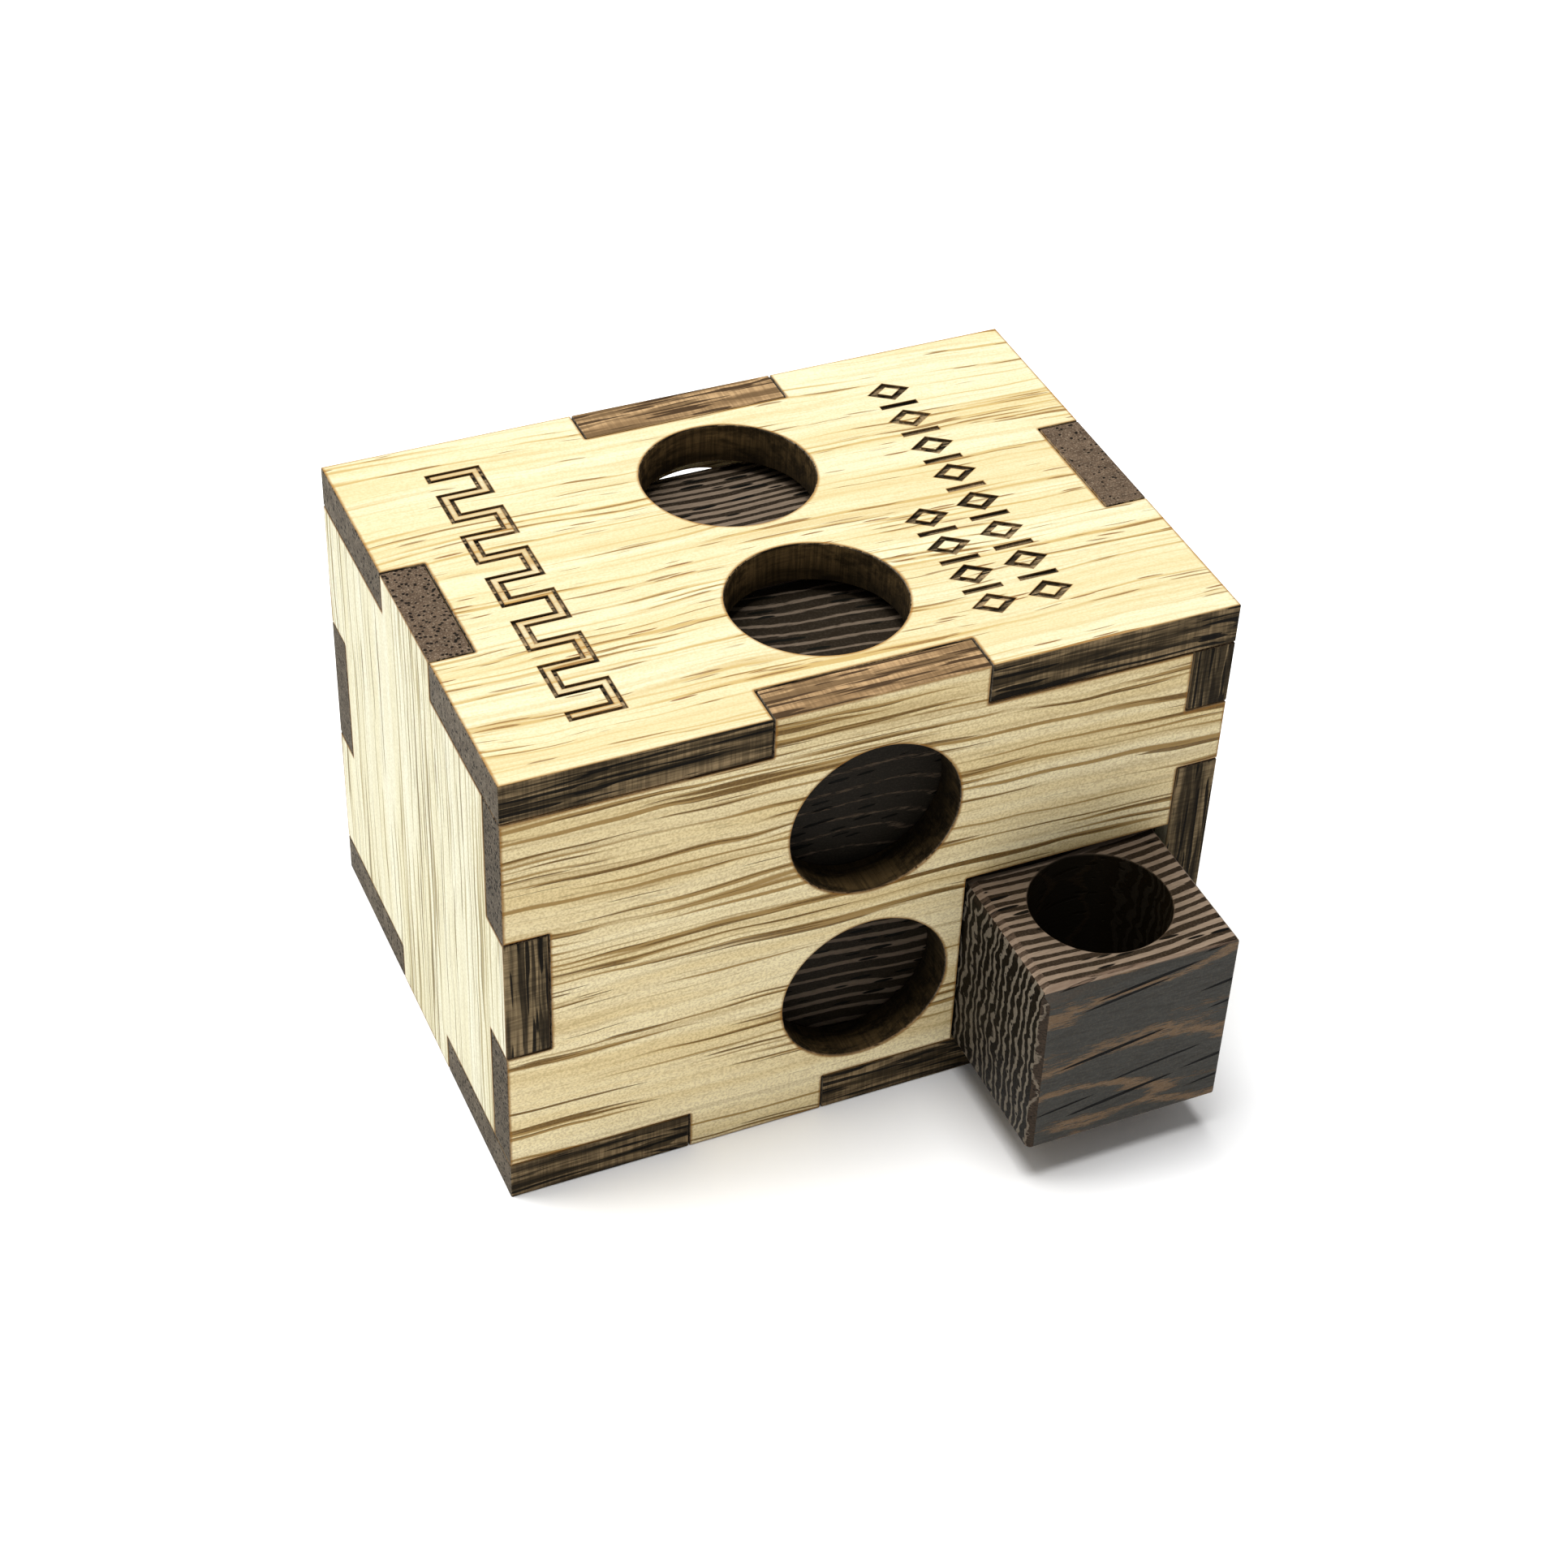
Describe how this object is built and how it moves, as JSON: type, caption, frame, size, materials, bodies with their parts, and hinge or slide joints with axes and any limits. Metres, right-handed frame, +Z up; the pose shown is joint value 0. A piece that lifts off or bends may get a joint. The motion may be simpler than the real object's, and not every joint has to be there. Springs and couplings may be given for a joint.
{
  "type": "wooden puzzle box",
  "caption": "Finger-jointed wooden puzzle box with round finger holes. Dark pieces glued from cubes slide inside it, and the key piece stands out of a square opening in front.",
  "frame": {"origin": "centre of the box's underside, the key piece that stands out of it left aside", "axes": "+Z up; +X along the length, to the right as seen from the front; -Y towards the front, the wall with the square exit opening"},
  "size_m": [0.0544, 0.0506, 0.0384],
  "materials": {
    "sheet_wood": "unvarnished pale yellow-cream wood with fine brown grain streaks, matte, edges burnt dark brown by the laser",
    "wenge": "sanded dark brown wenge with fine lighter bands and black pores, low satin sheen"
  },
  "bodies": {
    "box": {"top_panel": "sheet_wood", "bottom_panel": "sheet_wood", "front_panel": "sheet_wood", "back_panel": "sheet_wood", "left_panel": "sheet_wood", "right_panel": "sheet_wood"},
    "key_piece": {"key_front_block": "wenge", "key_corner_block": "wenge", "key_side_block": "wenge"},
    "upper_front_piece": {"upper_front_left_block": "wenge", "upper_front_middle_block": "wenge"},
    "upper_back_piece": {"upper_back_left_block": "wenge", "upper_back_middle_block": "wenge"},
    "corner_piece": {"corner_front_block": "wenge", "corner_back_block": "wenge"}
  },
  "joints": [
    {"name": "key_slide", "type": "slide", "parent": "box", "child": "key_piece", "axis": [0, 1, 0], "range_m": [0, 0.0164]},
    {"name": "upper_front_slide", "type": "slide", "parent": "box", "child": "upper_front_piece", "axis": [1, 0, 0], "range_m": [-0.00075, 0.0162]},
    {"name": "upper_back_slide", "type": "slide", "parent": "box", "child": "upper_back_piece", "axis": [1, 0, 0], "range_m": [-0.00075, 0.0162]},
    {"name": "corner_slide", "type": "slide", "parent": "box", "child": "corner_piece", "axis": [1, 0, 0], "range_m": [0, 0.0006]}
  ]
}
